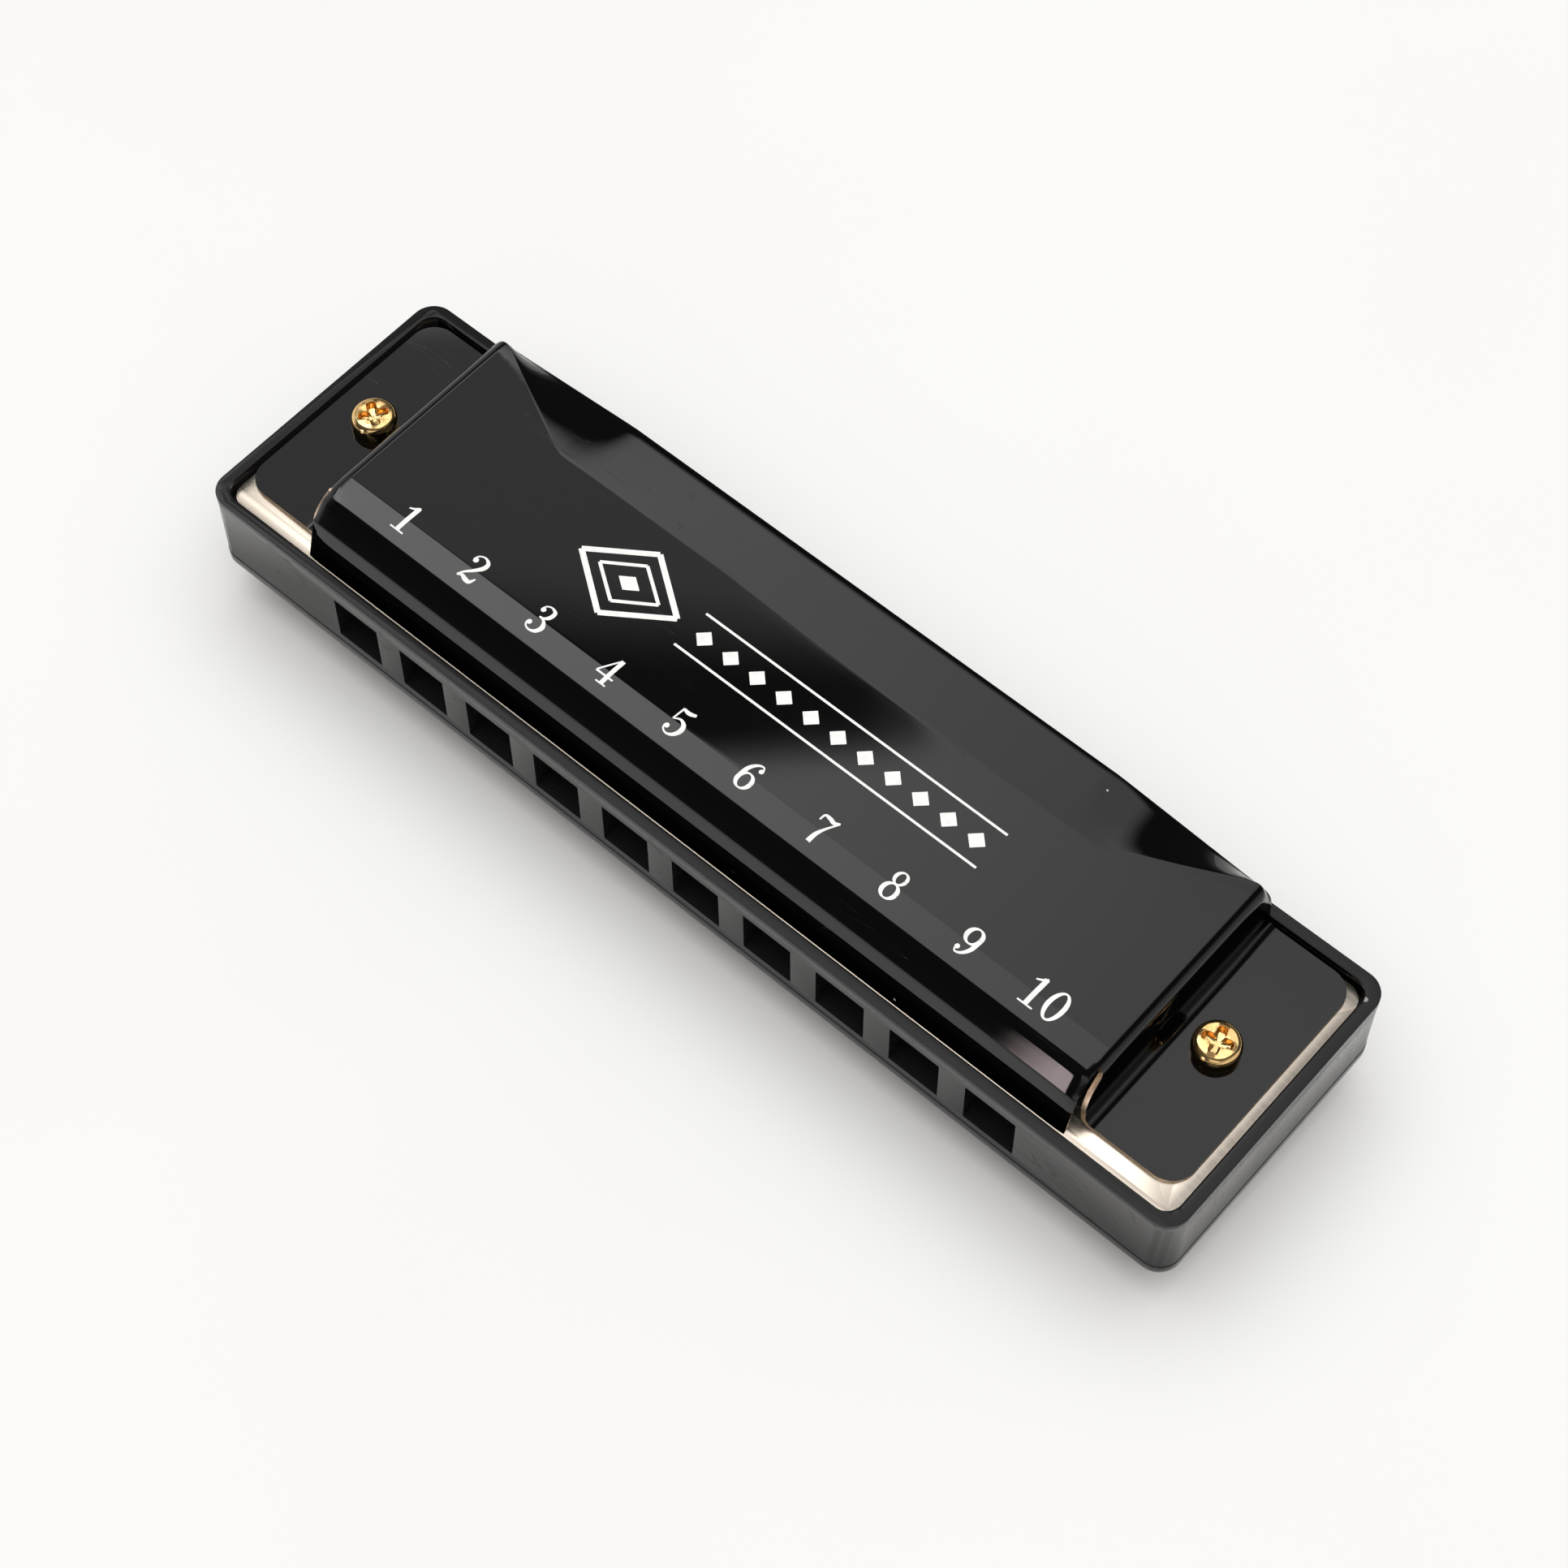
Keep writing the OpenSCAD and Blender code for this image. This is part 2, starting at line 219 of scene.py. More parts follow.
def place(tree, group, **inputs):
    """Places a group, wires its named inputs and returns its outputs."""
    made = add(tree, "ShaderNodeGroup", node_tree=group)
    for name, value in inputs.items():
        wire(tree, made.inputs[name], value)
    return made.outputs


print("node helpers ready")

# %% [markdown]
# ### Scratches, dust, mottle, worn edges with a painted sheen, and brushed lines
# Fine scratches are the thin middle band of a noise that is stretched some twenty times along one direction,
# and a second slow noise breaks them into short runs. Dust is the core of a few random cells. Mottle is a
# plain slow noise. Worn edges with a painted sheen come from Pointiness, which is above a half where a
# surface bends outwards.
# Brushed lines are a noise that is fine across the brush's path and long along it.

# %% Scratches
scratches, given, out = new_group("fine_scratches", {"Scale": 60.0, "Width": 0.02, "Cover": 0.5}, ["Mask"])
runs = []
for turn, stretch in ((14, 22), (-38, 26), (71, 18)):
    where = stretched(scratches, turn, (1, stretch, 4))
    lines = add(scratches, "ShaderNodeTexNoise", {"Vector": where, "Scale": given["Scale"], "Detail": 1.0})
    middle = calc(scratches, "ABSOLUTE", calc(scratches, "SUBTRACT", lines.outputs[0], 0.5))
    thin = calc(scratches, "SUBTRACT", 1.0, calc(scratches, "DIVIDE", middle, given["Width"]), clamp=True)
    patch = add(scratches, "ShaderNodeTexNoise", {"Vector": stretched(scratches, turn, (1, 2, 1)),
                                                  "Scale": calc(scratches, "MULTIPLY", given["Scale"], 1.7)})
    shown = fade(scratches, calc(scratches, "SUBTRACT", patch.outputs[0], given["Cover"]), 0.0, 0.06)
    runs.append(calc(scratches, "MULTIPLY", thin, shown))
most = calc(scratches, "MAXIMUM", calc(scratches, "MAXIMUM", runs[0], runs[1]), runs[2])
wire(scratches, out["Mask"], most)

# %% Dust
dust, given, out = new_group("dust_specks", {"Scale": 300.0, "Size": 0.1, "Share": 0.05}, ["Mask"])
cells = add(dust, "ShaderNodeTexVoronoi", {"Vector": stretched(dust, 0, (1, 1, 1)), "Scale": given["Scale"]})
lot = add(dust, "ShaderNodeSeparateColor", {"Color": cells.outputs["Color"]})
drawn = calc(dust, "LESS_THAN", lot.outputs[0], given["Share"])
reach = calc(dust, "MULTIPLY", given["Size"], calc(dust, "ADD", lot.outputs[1], 0.3))
core = calc(dust, "LESS_THAN", cells.outputs["Distance"], reach)
wire(dust, out["Mask"], calc(dust, "MULTIPLY", drawn, core))

# %% Mottle
mottle, given, out = new_group("slow_mottle", {"Scale": 80.0, "Low": 0.3, "High": 0.7}, ["Value"])
cloud = add(mottle, "ShaderNodeTexNoise", {"Vector": stretched(mottle, 0, (1, 1, 1)),
                                           "Scale": given["Scale"], "Detail": 4.0})
spread = add(mottle, "ShaderNodeMapRange", {"Value": cloud.outputs[0], "To Min": given["Low"],
                                            "To Max": given["High"], "From Min": 0.3, "From Max": 0.7})
wire(mottle, out["Value"], spread.outputs["Result"])

# %% Worn edges with a painted sheen
edge_wear_and_sheen, given, out = new_group("edge_wear_and_sheen", {"Start": 0.52, "End": 0.6, "Breakup": 400.0}, ["Mask"])
bend = add(edge_wear_and_sheen, "ShaderNodeNewGeometry").outputs["Pointiness"]
rough = add(edge_wear_and_sheen, "ShaderNodeTexNoise", {"Vector": stretched(edge_wear_and_sheen, 0, (1, 1, 1)),
                                              "Scale": given["Breakup"], "Detail": 3.0})
ragged = calc(edge_wear_and_sheen, "ADD", bend, calc(edge_wear_and_sheen, "MULTIPLY_ADD", rough.outputs[0], 0.08, -0.04))
worn = add(edge_wear_and_sheen, "ShaderNodeMapRange", {"Value": ragged, "From Min": given["Start"],
                                             "From Max": given["End"]}, interpolation_type="SMOOTHSTEP")
wire(edge_wear_and_sheen, out["Mask"], worn.outputs["Result"])

# %% Brushed lines
brushed, given, out = new_group("brushed_lines", {"Across": 3000.0, "Along": 60.0, "Turn": 0.0}, ["Height"])
spot = add(brushed, "ShaderNodeTexCoord").outputs["Object"]
turned = add(brushed, "ShaderNodeVectorRotate", {"Vector": spot, "Angle": given["Turn"]},
             rotation_type="Z_AXIS")
sizes = add(brushed, "ShaderNodeCombineXYZ", {"X": given["Along"], "Y": given["Across"],
                                              "Z": given["Across"]})
where = add(brushed, "ShaderNodeVectorMath", {0: turned.outputs[0], 1: sizes.outputs[0]},
            operation="MULTIPLY")
lines = add(brushed, "ShaderNodeTexNoise", {"Vector": where.outputs[0], "Scale": 1.0, "Detail": 3.0})
wire(brushed, out["Height"], lines.outputs[0])
print("groups:", [g.name for g in bpy.data.node_groups])

# %% [markdown]
# ## Finishes
# Each finish is one Principled shader. A value that is the same all over sits on the shader's own socket,
# and only what changes over the surface is wired in. The lacquer is almost pure black, so what is seen of it
# is its reflections: the film is very smooth, with a faint ripple, hairline scratches and some dust.

# %% A finish helper
finishes = {}


def finish(name, **fixed):
    """A new material with a Principled shader whose fixed sockets are set. Returns its tree and shader."""
    material = bpy.data.materials.new(name)
    material.use_nodes = True
    tree = material.node_tree
    shader = tree.nodes["Principled BSDF"]
    for label, value in fixed.items():
        shader.inputs[label.replace("_", " ")].default_value = value
    finishes[name] = material
    return tree, shader


def bump(tree, shader, height, depth_mm, strength=1.0):
    """Wires a height of 0 to 1, depth_mm deep, into the shader's normal."""
    made = add(tree, "ShaderNodeBump", {"Height": height, "Distance": depth_mm * MM, "Strength": strength})
    wire(tree, shader.inputs["Normal"], made.outputs["Normal"])


def blend_colour(tree, mask, first, second):
    """first where the mask is 0, second where it is 1."""
    made = add(tree, "ShaderNodeMix", {"Factor": mask}, data_type="RGBA")
    wire(tree, made.inputs[6], first)
    wire(tree, made.inputs[7], second)
    return made.outputs[2]


# %% Gloss black lacquer
tree, shader = finish("cover_lacquer", IOR=1.46)
specks = place(tree, dust, Scale=437.0, Size=0.06, Share=0.014)["Mask"]
hairlines = place(tree, scratches, Scale=45.0, Width=0.006, Cover=0.56)["Mask"]
film = place(tree, mottle, Scale=140.0, Low=0.015, High=0.04)["Value"]
lacquer = blend_colour(tree, specks, (0.0012, 0.0012, 0.0015, 1), (0.5, 0.46, 0.42, 1))
wire(tree, shader.inputs["Base Color"], lacquer)
dull = calc(tree, "ADD", film, calc(tree, "MULTIPLY", specks, 0.6))
wire(tree, shader.inputs["Roughness"], calc(tree, "MULTIPLY_ADD", hairlines, 0.12, dull))
ripple = place(tree, mottle, Scale=70.0, Low=0.0, High=1.0)["Value"]
bump(tree, shader, calc(tree, "MULTIPLY_ADD", hairlines, -0.05, ripple), 0.0012)

# %% Cut edge of the cover sheet, coloured with a painted reflection of the brass plates
tree, shader = finish("bare_edge", Metallic=1.0)
nicks = place(tree, mottle, Scale=900.0, Low=0.0, High=1.0)["Value"]
# Both tones are warm and brassy: a painted reflection of the brass plates in the bare steel edge. The mottle
# between them is random.
wire(tree, shader.inputs["Base Color"], blend_colour(tree, nicks, (0.9, 0.72, 0.52, 1), (0.52, 0.4, 0.3, 1)))
wire(tree, shader.inputs["Roughness"], calc(tree, "MULTIPLY_ADD", nicks, 0.3, 0.2))

# %% Moulded black plastic
tree, shader = finish("comb_plastic", IOR=1.3)
cloud = place(tree, mottle, Scale=120.0, Low=0.1, High=0.2)["Value"]
rubbed_edge_sheen = place(tree, edge_wear_and_sheen, Start=0.53, End=0.62, Breakup=500.0)["Mask"]
marks = place(tree, scratches, Scale=90.0, Width=0.01, Cover=0.5)["Mask"]
specks = place(tree, dust, Scale=500.0, Size=0.1, Share=0.02)["Mask"]
# The comb's convex edges are painted lighter: partly wear, partly a painted sheen of light along the edges.
base = blend_colour(tree, rubbed_edge_sheen, (0.002, 0.002, 0.0025, 1), (0.012, 0.011, 0.011, 1))
wire(tree, shader.inputs["Base Color"], blend_colour(tree, specks, base, (0.3, 0.27, 0.25, 1)))
wire(tree, shader.inputs["Roughness"], calc(tree, "MULTIPLY_ADD", marks, 0.2, cloud))
grain = add(tree, "ShaderNodeTexNoise", {"Vector": stretched(tree, 0, (1, 1, 1)), "Scale": 2600.0,
                                         "Detail": 3.0})
bump(tree, shader, calc(tree, "MULTIPLY_ADD", marks, -0.3, grain.outputs[0]), 0.0012)

# %% Brass finishes
def brass(name, bright, dark, smooth, rough, turn, line_mm, across=2600.0):
    """Brushed metal: a mottle mixes two tones, and brushed lines set the roughness and a shallow bump."""
    tree, shader = finish(name, Metallic=1.0)
    tone = place(tree, mottle, Scale=160.0, Low=0.0, High=1.0)["Value"]
    lines = place(tree, brushed, Across=across, Along=70.0, Turn=math.radians(turn))["Height"]
    tarnish = place(tree, dust, Scale=700.0, Size=0.16, Share=0.04)["Mask"]
    mixed = blend_colour(tree, tone, bright, dark)
    spotted = blend_colour(tree, tarnish, mixed, (0.2, 0.14, 0.08, 1))
    wire(tree, shader.inputs["Base Color"], spotted)
    wire(tree, shader.inputs["Roughness"], calc(tree, "MULTIPLY_ADD", lines, rough - smooth, smooth))
    bump(tree, shader, lines, line_mm)


brass("plate_brass", (1.0, 0.89, 0.77, 1), (0.96, 0.83, 0.69, 1), 0.18, 0.34, 0, 0.0003)
brass("reed_brass", (0.87, 0.66, 0.3, 1), (0.72, 0.5, 0.2, 1), 0.16, 0.4, 90, 0.0015, 4200.0)
brass("pin_brass", (0.8, 0.6, 0.32, 1), (0.62, 0.44, 0.2, 1), 0.15, 0.35, 30, 0.001)

# %% Gold plate
tree, shader = finish("gold_plate", Metallic=1.0)
tone = place(tree, mottle, Scale=900.0, Low=0.0, High=1.0)["Value"]
wire(tree, shader.inputs["Base Color"], blend_colour(tree, tone, (1.0, 0.72, 0.33, 1), (0.86, 0.52, 0.2, 1)))
wire(tree, shader.inputs["Roughness"], calc(tree, "MULTIPLY_ADD", tone, 0.12, 0.08))
dimple = add(tree, "ShaderNodeTexNoise", {"Vector": stretched(tree, 0, (1, 1, 1)), "Scale": 1500.0,
                                          "Detail": 2.0})
bump(tree, shader, dimple.outputs[0], 0.02)

# %% Printing ink
tree, shader = finish("print_ink", IOR=1.45)
thin_ink = place(tree, mottle, Scale=1500.0, Low=0.0, High=1.0)["Value"]
white = blend_colour(tree, thin_ink, (0.94, 0.93, 0.91, 1), (0.86, 0.84, 0.82, 1))
wire(tree, shader.inputs["Base Color"], white)
wire(tree, shader.inputs["Roughness"], calc(tree, "MULTIPLY_ADD", thin_ink, 0.2, 0.35))
print("finishes:", sorted(finishes))

# %% [markdown]
# ## Dressing a piece
# A finished piece needs a material, named by its slot unless others are given, and a body to ride on, and the
# node that it stands for is hidden. One helper does all three, so that no piece stays behind when a reed
# swings.

# %% Dress a piece
def dress(piece, body, slot, node=None, *materials):
    """Gives a piece its materials (slot if none are given) and body, and hides the CAD node it replaces."""
    piece.data.materials.clear()
    for name in materials or (slot,):
        piece.data.materials.append(finishes[name])
    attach(piece, body)
    if node:
        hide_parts(node)
    return piece


def soften(piece, width_mm, segments=2, angle=35):
    """A live bevel on every edge sharper than `angle` degrees."""
    bevel = piece.modifiers.new("softened_edges", "BEVEL")
    bevel.width = width_mm * MM
    bevel.segments = segments
    bevel.limit_method = "ANGLE"
    bevel.angle_limit = math.radians(angle)
    bevel.harden_normals = True
    bevel.use_clamp_overlap = True
    return piece


# %% [markdown]
# ## Comb and reed plates
# The comb and the plates are already right in the frame: a moulded block with ten chambers, and two punched
# plates. Only their edges are too perfect. A copy of the mesh is merged, its coplanar triangles are joined
# into whole faces, and a bevel rounds the edges by a tenth of a millimetre or less, to catch the light.

# %% Bevelled copies
def softened_copy(node, name, slot, width_mm, segments=2):
    """Copies a node's mesh, merges it, joins flat triangles into faces, and bevels the edges."""
    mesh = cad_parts[node].data.copy()
    mesh.name = name
    work = bmesh.new()
    work.from_mesh(mesh)
    bmesh.ops.remove_doubles(work, verts=work.verts, dist=2e-7)
    bmesh.ops.dissolve_limit(work, angle_limit=math.radians(0.6), verts=work.verts, edges=work.edges,
                             use_dissolve_boundaries=False)
    work.to_mesh(mesh)
    work.free()
    mesh.polygons.foreach_set("use_smooth", np.full(len(mesh.polygons), True))
    piece = soften(new_object(name, mesh), width_mm, segments)
    print(name, "has", len(mesh.polygons), "faces before its bevel")
    return dress(piece, "harmonica", slot, node)


softened_copy("comb", "moulded_comb", "comb_plastic", 0.1, 3)
softened_copy("upper_reed_plate", "upper_punched_plate", "plate_brass", 0.06)
softened_copy("lower_reed_plate", "lower_punched_plate", "plate_brass", 0.06)

# %% [markdown]
# ## Covers
# A cover is one sheet, pressed and bent. Its section runs up the front panel, over a crease and a round
# knee, along the flat top, over a ridge and down a shallow strip to the open back. Across, the top rolls
# over into an end wall and flows out into a flange. So the grid has the section along its rows and this
# roll along its columns. Below the knee, the panel and the walls are cut apart. Near the back corners the
# strip is pushed in, so the ridge runs out to the corner on a slant.

# %% Section of a cover
FOOT_Y = -12.1
SLIT_Y = -8.4
FLAT_Y = -6.8
RIDGE_Y = 5.6
BACK_Y = 12.4
SLIT_Z = 5.86
STRIP_DROP = 0.35
LIP_R = 0.15
FOLD = 0.08
front_run = rounded_path([(FOOT_Y, 0.02), (-11.1, 4, 0.6), (-9.6, 5.755, 1.4), (SLIT_Y, SLIT_Z)], 8, 0.7)
strip_run = rounded_path([(SLIT_Y, SLIT_Z), (FLAT_Y, RISE, 1.2), (FLAT_Y + 1, RISE)], 6, 0.4)[1:]
print("front panel has", len(front_run), "rows, the strip above it", len(strip_run))

# %% Roll of a cover, from the middle to the flange
ROLL_START = 39.3
PANEL_EDGE = 40.0
FLANGE_R = 2.2
WALL_TOP = 40.4
WALL_FOOT = 40.8
roll_corners = [(ROLL_START, RISE), (WALL_TOP, RISE, 1.1), (WALL_FOOT, SHEET, 1.0),
                (COVER_HALF - FLANGE_R, SHEET)]
roll_run = rounded_path(roll_corners, 8, 0.9)
corner_turn = np.linspace(0, math.pi / 2, 9)[1:]
flange_x = COVER_HALF - FLANGE_R * (1 - np.sin(corner_turn))
flat_x = np.linspace(0, ROLL_START, 43)[:-1]
half_x = np.concatenate([flat_x, roll_run[:, 0], flange_x])
half_h = np.concatenate([np.full(len(flat_x), RISE), roll_run[:, 1], np.full(len(flange_x), SHEET)])
across_x = np.concatenate([-half_x[:0:-1], half_x])
across_h = np.concatenate([half_h[:0:-1], half_h])
print("a cover has", len(across_x), "columns")

# %% The top of a cover
TUCK = 1.25
TUCK_FROM = 25.5
TUCK_TO = 39.0
LIP_DOWN = 0.3
RIDGE_LINE = [(0, RIDGE_Y), (28.5, RIDGE_Y + 0.3), (38.7, 11.4), (41, 11.8)]
WALL_FRONT = [(SHEET, -10.4), (0.6, -10.5), (1.4, -10.56), (3.1, -10.5), (4.4, -9.7), (5.3, -8.5),
              (5.7, SLIT_Y)]


def read_off(table, where):
    """Straight lines between a table's (place, value) rows."""
    places, values = zip(*table)
    return np.interp(where, places, values)


def middle_top(far):
    """The top over the middle, as y and z. From the slit line the strip rises to the flat, and the flat runs
    to the ridge. Behind it z falls by STRIP_DROP, after a short fold whose drop grows with the square of the
    way, and near the ends by TUCK times the way to the power 1.6. The last rows turn down in an arc."""
    ridge = read_off(RIDGE_LINE, far)
    tuck = TUCK * np.clip((far - TUCK_FROM) / (TUCK_TO - TUCK_FROM), 0, 1)
    flat_rows = np.linspace(0, 1, 15)[1:, None]
    back_rows = np.concatenate([np.linspace(0, FOLD, 6)[1:], np.linspace(FOLD, 1, 9)[1:]])[:, None]
    bend = np.where(back_rows < FOLD, back_rows ** 2 / (2 * FOLD), back_rows - FOLD / 2) / (1 - FOLD / 2)
    strip_y = np.repeat(strip_run[:, :1], len(far), axis=1)
    strip_z = np.repeat(strip_run[:, 1:], len(far), axis=1)
    flat_from = strip_run[-1, 0]
    flat_y = flat_from + flat_rows * (ridge - flat_from)
    rear_y = ridge + back_rows * (BACK_Y - LIP_R - ridge)
    rear_z = RISE - STRIP_DROP * bend - tuck * back_rows ** 1.6
    lip_turn = np.radians([[30], [60], [90], [90]])
    lip_y = BACK_Y - LIP_R * (1 - np.sin(lip_turn)) + np.zeros(len(far))
    lip_z = rear_z[-1:] - LIP_R * (1 - np.cos(lip_turn))
    lip_z[-1] -= LIP_DOWN
    slit = np.ones((1, len(far)))
    y = np.concatenate([SLIT_Y * slit, strip_y, flat_y, rear_y, lip_y])
    z = np.concatenate([SLIT_Z * slit, strip_z, np.full(flat_y.shape, RISE), rear_z, lip_z])
    return y, z


def rolled_top(far):
    """The top carried down the roll: z shrinks with the roll's own height, and y spreads evenly between the
    wall's front edge and the back. The flange's corners are quarter circles of radius FLANGE_R."""
    y, z = middle_top(far)
    fall = (across_h - SHEET) / (RISE - SHEET)
    share = (BACK_Y - y) / (BACK_Y - SLIT_Y)
    share += (np.linspace(1, 0, len(share))[:, None] - share) * (1 - fall)
    front_edge = read_off(WALL_FRONT, across_h)
    back_edge = BACK_Y - 0.2 * (1 - fall)
    past = np.maximum(far - COVER_HALF + FLANGE_R, 0)
    corner = FLANGE_R - np.sqrt(np.maximum(FLANGE_R ** 2 - past ** 2, 0))
    spread_y = (back_edge - corner) - share * (back_edge - front_edge - 2 * corner)
    return spread_y, SHEET + (z - SHEET) * fall


# %% The whole cover
PANEL_ROLL = 38.6
PANEL_ROLL_R = 1.5


def front_panel(far):
    """The panel's rows. Past PANEL_ROLL each point is drawn in along its row's normal, on an arc of radius
    PANEL_ROLL_R, a tenth of the arc at the foot and almost half of it at the knee."""
    tangent = np.gradient(front_run, axis=0)
    tangent /= np.linalg.norm(tangent, axis=1, keepdims=True)
    rest = np.maximum(PANEL_ROLL_R ** 2 - (far - PANEL_ROLL) ** 2, 0.1)
    drawn_in = np.where(far > PANEL_ROLL, PANEL_ROLL_R - np.sqrt(rest), 0)
    drawn_in = drawn_in * np.linspace(0.1, 0.45, len(front_run))[:, None]
    return front_run[:, :1] + tangent[:, 1:] * drawn_in, front_run[:, 1:] - tangent[:, :1] * drawn_in


def cover_grid():
    """Rows go from the panel's foot to the back, columns from end to end. Panel quads past PANEL_EDGE are
    left out, which cuts the panel and the walls apart."""
    far = np.abs(across_x)
    panel_y, panel_z = front_panel(far)
    top_y, top_z = rolled_top(far)
    y = np.concatenate([panel_y[:-1], top_y])
    z = np.concatenate([panel_z[:-1], top_z]) + PLATE_Z
    x = np.broadcast_to(across_x + COVER_X, y.shape)
    keep = np.ones((y.shape[0] - 1, y.shape[1] - 1), bool)
    keep[:len(front_run) - 1] = np.maximum(far[:-1], far[1:]) <= PANEL_EDGE
    return np.stack([x, y, z], axis=-1), keep


cover_points, cover_keep = cover_grid()
print("cover grid", cover_points.shape, "tallest", round(float(cover_points[..., 2].max()), 3), "mm")

# %% Both covers
def pressed_cover(name, node, side):
    """side is 1 above and -1 below. Mirroring z turns the quads over, so they are flipped back."""
    points = cover_points * (1, 1, side)
    faces = grid_faces(*points.shape[:2], keep=cover_keep, flip=side < 0)
    mesh = to_mesh(name, points, faces)
    work = bmesh.new()
    work.from_mesh(mesh)
    loose = [v for v in work.verts if not v.link_faces]
    bmesh.ops.delete(work, geom=loose, context="VERTS")
    work.to_mesh(mesh)
    work.free()
    piece = new_object(name, mesh)
    wall = piece.modifiers.new("sheet", "SOLIDIFY")
    wall.thickness = (SHEET - 0.01) * MM
    wall.offset = -1
    wall.use_even_offset = False
    wall.material_offset_rim = 1
    soften(piece, 0.05, 2, 50)
    return dress(piece, "harmonica", "cover_lacquer", node, "cover_lacquer", "bare_edge")


pressed_cover("upper_pressed_cover", "upper_cover", 1)
pressed_cover("lower_pressed_cover", "lower_cover", -1)

# %% [markdown]
# ## Printing on the upper cover
# The hole numbers are printed in white. A numeral could be a text object, but its shapes would be plain, and
# these have heavy and light strokes with small feet. So each is drawn with a few pen strokes: a smooth path
# through a handful of points, each with its own pen width, carried as a very thin slab of ink. The middle of
# the cover gets a plain ornament of lozenges between two rules.

# %% Pen strokes
INK = 0.02


def top_height(y):
    """Height of the cover's outer face over the middle plane, read off the middle column."""
    middle_column = cover_points[len(front_run) - 1:, cover_points.shape[1] // 2]
    return np.interp(y, middle_column[:-4, 1], middle_column[:-4, 2])


def pen_path(spots, steps):
    """A smooth path through (x, y, width) rows: the cubic through each four neighbours (Catmull-Rom)."""
    p = np.array(spots, float)
    p = np.concatenate([2 * p[:1] - p[1:2], p, 2 * p[-1:] - p[-2:-1]])
    t = np.linspace(0, 1, steps, endpoint=False)[None, :, None]
    a, b, c, d = (p[k:len(p) - 3 + k, None, :] for k in range(4))
    square = (2 * a - 5 * b + 4 * c - d) * t ** 2
    cube = (3 * b - a - 3 * c + d) * t ** 3
    curve = 0.5 * (2 * b + (c - a) * t + square + cube)
    return np.concatenate([curve.reshape(-1, 3), p[-2:-1]])


def stroke(spots, scale, place_at, layer, slant=0.0, steps=8):
    """One slab of ink. Its section is a flat rectangle as wide as the pen, carried along the pen's path."""
    path = pen_path(spots, steps)
    line = path[:, :2] * scale
    along = np.gradient(line, axis=0)
    along /= np.maximum(np.linalg.norm(along, axis=1, keepdims=True), 1e-9)
    side = np.stack([-along[:, 1], along[:, 0]], axis=1) * path[:, 2:] * scale / 2
    ring = np.stack([line + side, line - side, line - side, line + side], axis=1)
    ring[..., 0] += ring[..., 1] * slant
    ring += place_at
    z = top_height(ring[..., 1]) + np.array([INK, INK, -0.03, -0.03]) + layer * 0.002
    return np.concatenate([ring, z[..., None]], axis=-1)


def ink_mesh(name, strokes):
    """Joins strokes into one mesh. Each is a closed tube of four sides with a cap at both ends."""
    points = []
    faces = []
    for rings in strokes:
        start = sum(len(p) for p in points)
        rows = len(rings)
        faces += grid_faces(rows, 4, close_columns=True, start=start)
        faces += [[start + k for k in range(4)], [start + rows * 4 - 1 - k for k in range(4)]]
        points.append(rings.reshape(-1, 3))
    return merge_close(to_mesh(name, np.concatenate(points), faces, smooth=False), 1e-9)


# %% Numerals
def dot(x, y, size):
    """A round blob of ink, as a short stroke whose width swells and closes."""
    turn = np.linspace(-1, 1, 9)
    return [(x + size / 2 * a, y, size * math.sqrt(max(1 - a * a, 0.02))) for a in turn]


def loop(x, y, wide, high, thick, thin, turns=16):
    """An oval drawn with a broad pen: thick at its sides, thin at its top and foot."""
    return [(x + wide * math.cos(a), y + high * math.sin(a), thin + (thick - thin) * abs(math.cos(a)) ** 1.5)
            for a in np.linspace(0, 2 * math.pi, turns + 1)]


